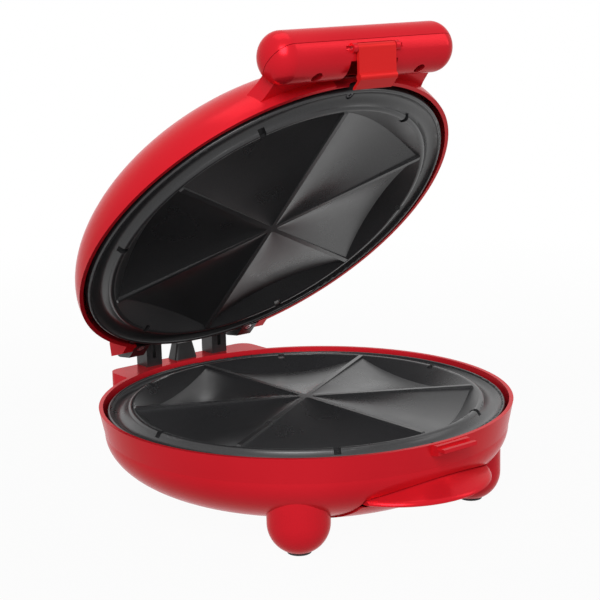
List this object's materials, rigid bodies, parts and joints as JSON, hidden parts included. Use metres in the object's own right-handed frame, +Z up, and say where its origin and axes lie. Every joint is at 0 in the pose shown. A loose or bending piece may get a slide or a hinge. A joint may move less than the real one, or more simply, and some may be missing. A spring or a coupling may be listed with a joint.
{
  "type": "quesadilla maker",
  "caption": "Round countertop quesadilla maker, its hinged lid open, with wedge pockets in both cooking plates, a bar handle with a latch and a slide-out drip tray.",
  "frame": {"origin": "on the table, on the vertical axis of the round base, under the middle of the model's bounding box", "axes": "+Z up, -Y to the front where the handle, latch and drip tray are, +Y to the hinge, +X to the right seen from the front"},
  "size_m": [0.246, 0.2674, 0.279],
  "materials": {
    "red_housing": "gloss",
    "red_latch": "gloss",
    "nonstick_plate": "satin non-stick coating",
    "element_steel": "satin",
    "reflector_steel": "bright",
    "steel_hardware": "plain",
    "black_plastic": "satin",
    "white_ceramic": "matt",
    "foot_rubber": "matt",
    "red_lens": "clear",
    "green_lens": "clear"
  },
  "bodies": {
    "base": {"base_housing": "red_housing", "foot_pads": "foot_rubber", "lower_cooking_plate": "nonstick_plate", "lower_heating_element": "element_steel", "lower_reflector": "reflector_steel", "lower_plate_screws": "steel_hardware", "thermostat": "black_plastic", "thermal_fuse": "steel_hardware", "terminal_block": "white_ceramic", "cord_gland": "black_plastic", "wire_conduit": "black_plastic", "hinge_post_left": "black_plastic", "hinge_post_right": "black_plastic", "hinge_post_screws": "steel_hardware"},
    "lid": {"lid_housing": "red_housing", "upper_cooking_plate": "nonstick_plate", "upper_heating_element": "element_steel", "upper_reflector": "reflector_steel", "upper_plate_screw": "steel_hardware", "upper_reflector_screws": "steel_hardware", "hinge_bracket_left": "black_plastic", "hinge_bracket_right": "black_plastic", "hinge_bracket_screws": "steel_hardware", "hinge_pin_left": "steel_hardware", "hinge_pin_right": "steel_hardware", "handle_upper_shell": "red_housing", "handle_lower_shell": "red_housing", "handle_screws": "steel_hardware", "power_light_lens": "red_lens", "ready_light_lens": "green_lens", "indicator_holder": "black_plastic", "latch_pin": "steel_hardware"},
    "latch": {"latch_clip": "red_latch"},
    "tray": {"drip_tray": "red_housing"}
  },
  "joints": [
    {"name": "lid_hinge", "type": "hinge", "parent": "base", "child": "lid", "pos_m": [0, 0.1283, 0.0758], "axis": [-1, 0, 0], "range_deg": [-45.9, 59]},
    {"name": "latch_hinge", "type": "hinge", "parent": "lid", "child": "latch", "pos_m": [0, -0.06634, 0.26803], "axis": [-1, 0, 0], "range_deg": [0, 35]},
    {"name": "drip_tray_slide", "type": "slide", "parent": "base", "child": "tray", "axis": [0, -1, 0], "range_m": [0, 0.11]}
  ]
}
